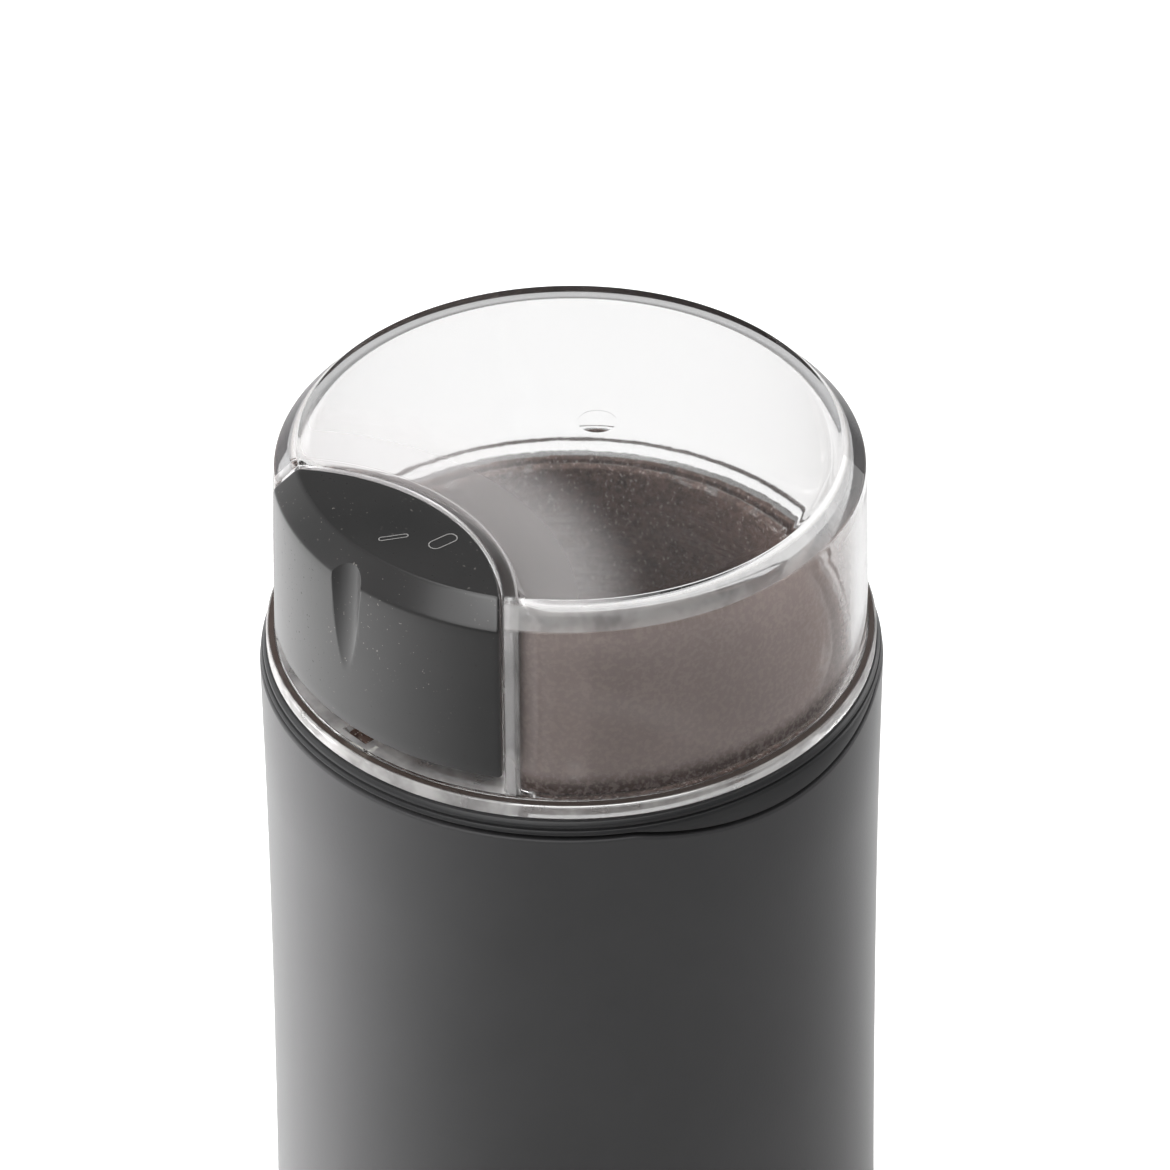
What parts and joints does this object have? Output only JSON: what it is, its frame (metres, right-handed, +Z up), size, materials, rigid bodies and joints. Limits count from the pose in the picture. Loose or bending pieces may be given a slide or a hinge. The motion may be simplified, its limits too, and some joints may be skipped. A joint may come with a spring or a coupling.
{
  "type": "electric spice grinder",
  "caption": "Upright blade grinder with a clear lid, a sunk press button in the lid's rim, a steel bowl and a motor in a round black body.",
  "frame": {"origin": "centre of the footprint on the surface that the feet stand on", "axes": "+Z up along the motor's axis, the button faces -Y, the supply lead's hole faces +Y"},
  "size_m": [0.0958, 0.0958, 0.172],
  "materials": {
    "shell_satin": "satin, fine grained moulded plastic",
    "collar_black": "semi-gloss moulded plastic",
    "base_black": "matt moulded plastic",
    "foot_rubber": "matt",
    "bush_rubber": "matt",
    "lid_clear": "clear, polished",
    "button_black": "semi-gloss moulded plastic",
    "bowl_steel": "drawn, satin polished",
    "blade_steel": "ground edges",
    "screw_steel": "zinc plated",
    "spring_steel": "drawn wire",
    "seal_rubber": "matt",
    "seal_red": "matt",
    "hub_black": "matt",
    "shaft_steel": "ground",
    "bearing_bronze": "sintered",
    "bracket_cast": "die cast",
    "lamination_steel": "stamped stack",
    "winding_copper": "enamelled wire",
    "commutator_copper": "turned",
    "carbon": "pressed carbon",
    "holder_brass": "stamped",
    "fan_grey": "matt",
    "rod_ivory": "satin",
    "switch_blue": "satin",
    "plunger_red": "satin",
    "fuse_ceramic": "matt",
    "lead_white": "smooth flexible insulation"
  },
  "bodies": {
    "base": {"outer_shell": "shell_satin", "bowl_carrier": "collar_black", "base_cover": "base_black", "rubber_feet": "foot_rubber", "base_screws": "screw_steel", "carrier_screws": "screw_steel", "lead_bush": "bush_rubber", "grinding_bowl": "bowl_steel", "bowl_seal": "seal_rubber", "bowl_nut": "screw_steel", "shaft_seal": "seal_red", "upper_bearing": "bearing_bronze", "lower_bearing": "bearing_bronze", "upper_bracket": "bracket_cast", "lower_bracket": "bracket_cast", "motor_mounts": "foot_rubber", "mount_screws": "screw_steel", "motor_screws": "screw_steel", "stator_core": "lamination_steel", "field_coils": "winding_copper", "thermal_fuse": "fuse_ceramic", "motor_leads": "lead_white", "carbon_brushes": "carbon", "brush_holders": "holder_brass", "brush_springs": "spring_steel", "push_rod_spring": "spring_steel", "switch_body": "switch_blue", "switch_terminals": "holder_brass", "switch_screws": "screw_steel"},
    "lid_body": {"lid": "lid_clear", "button_springs": "spring_steel"},
    "button_body": {"button": "button_black"},
    "rod_body": {"push_rod": "rod_ivory"},
    "lever_body": {"switch_lever": "spring_steel"},
    "plunger_body": {"switch_plunger": "plunger_red"},
    "rotor": {"drive_shaft": "shaft_steel", "blade": "blade_steel", "blade_hub": "hub_black", "blade_nut": "screw_steel", "armature_core": "lamination_steel", "armature_winding": "winding_copper", "commutator": "commutator_copper", "cooling_fan": "fan_grey"}
  },
  "joints": [
    {"name": "lid_lift", "type": "slide", "parent": "base", "child": "lid_body", "axis": [0, 0, 1], "range_m": [0, 0.08]},
    {"name": "button_press", "type": "slide", "parent": "lid_body", "child": "button_body", "axis": [0, 0, -1], "range_m": [0, 0.0025], "stiffness_N_per_m": 500, "springref_m": -0.003, "deforming": ["button_springs"]},
    {"name": "rod_press", "type": "slide", "parent": "base", "child": "rod_body", "axis": [0, 0, -1], "range_m": [0, 0.0025], "stiffness_N_per_m": 200, "springref_m": -0.003, "deforming": ["push_rod_spring"]},
    {"name": "lever_swing", "type": "hinge", "parent": "base", "child": "lever_body", "pos_m": [0, -0.026, 0.0771], "axis": [1, 0, 0], "range_deg": [0, 9.6]},
    {"name": "plunger_press", "type": "slide", "parent": "base", "child": "plunger_body", "axis": [0, 0, -1], "range_m": [0, 0.00085]},
    {"name": "rotor_spin", "type": "hinge", "parent": "base", "child": "rotor", "pos_m": [0, 0, 0.05], "axis": [0, 0, 1], "continuous": true}
  ],
  "couplings": [
    {"joint": "rod_press", "follows": "button_press", "ratio": 1},
    {"joint": "lever_swing", "follows": "button_press", "rad_per_m": 66.531},
    {"joint": "plunger_press", "follows": "button_press", "ratio": 0.3311}
  ]
}
